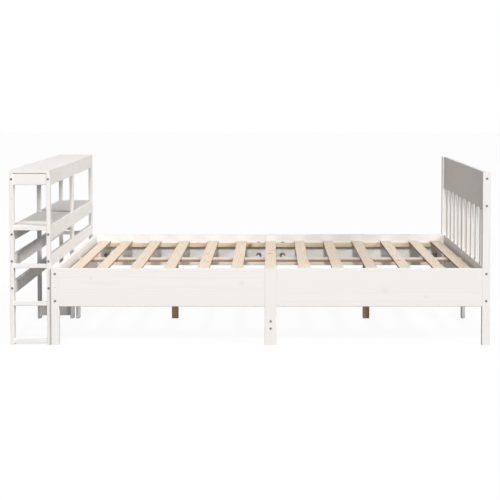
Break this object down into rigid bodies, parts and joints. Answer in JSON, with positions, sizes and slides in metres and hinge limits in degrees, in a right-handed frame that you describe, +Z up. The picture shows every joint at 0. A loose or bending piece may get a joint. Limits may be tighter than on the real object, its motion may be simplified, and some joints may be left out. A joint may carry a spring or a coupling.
{
  "type": "bookcase headboard bed",
  "caption": "Wooden bed frame with a slatted headboard, a slat base on a centre beam, and an open bookcase joined across its low end.",
  "frame": {"origin": "on the floor, under the middle of the overall length and width", "axes": "+X along the bed from the bookcase to the headboard, +Z up, -Y the right side as seen from the low end"},
  "size_m": [2.246, 1.455, 0.822],
  "materials": {
    "white_pine": "solid pine in thin white satin paint",
    "natural_pine": "planed bare pine",
    "zinc_steel": "zinc plated"
  },
  "bodies": {
    "root": {"barrel_nuts": "zinc_steel", "beam_ledgers": "natural_pine", "bed_screws": "zinc_steel", "bed_slat_01": "natural_pine", "bed_slat_02": "natural_pine", "bed_slat_03": "natural_pine", "bed_slat_04": "natural_pine", "bed_slat_05": "natural_pine", "bed_slat_06": "natural_pine", "bed_slat_07": "natural_pine", "bed_slat_08": "natural_pine", "bed_slat_09": "natural_pine", "bed_slat_10": "natural_pine", "bed_slat_11": "natural_pine", "bed_slat_12": "natural_pine", "bed_slat_13": "natural_pine", "case_centre_ties": "white_pine", "case_frame_top_rails": "white_pine", "case_lower_rails": "white_pine", "case_middle_rails": "white_pine", "case_post_back_centre": "white_pine", "case_post_back_left": "white_pine", "case_post_back_right": "white_pine", "case_post_front_centre": "white_pine", "case_post_front_left": "white_pine", "case_post_front_right": "white_pine", "case_rungs": "white_pine", "case_screws": "zinc_steel", "case_shelf_boards": "white_pine", "case_shelf_rails": "white_pine", "case_top_board": "white_pine", "case_top_rails": "white_pine", "centre_beam": "natural_pine", "foot_board_left": "white_pine", "foot_board_right": "white_pine", "foot_leg_centre": "white_pine", "foot_leg_left": "white_pine", "foot_leg_right": "white_pine", "half_moon_washers": "zinc_steel", "head_lower_boards": "white_pine", "head_panel_left": "white_pine", "head_panel_right": "white_pine", "head_post_centre": "white_pine", "head_post_left": "white_pine", "head_post_right": "white_pine", "head_slats": "white_pine", "link_screws": "zinc_steel", "link_spacers": "zinc_steel", "middle_leg_left": "white_pine", "middle_leg_right": "white_pine", "middle_stretcher": "white_pine", "rail_bolts": "zinc_steel", "rail_nuts": "zinc_steel", "rail_rods": "zinc_steel", "side_rail_left_foot": "white_pine", "side_rail_left_head": "white_pine", "side_rail_right_foot": "white_pine", "side_rail_right_head": "white_pine", "slat_cleats": "natural_pine", "support_legs": "natural_pine"}
  },
  "joints": []
}
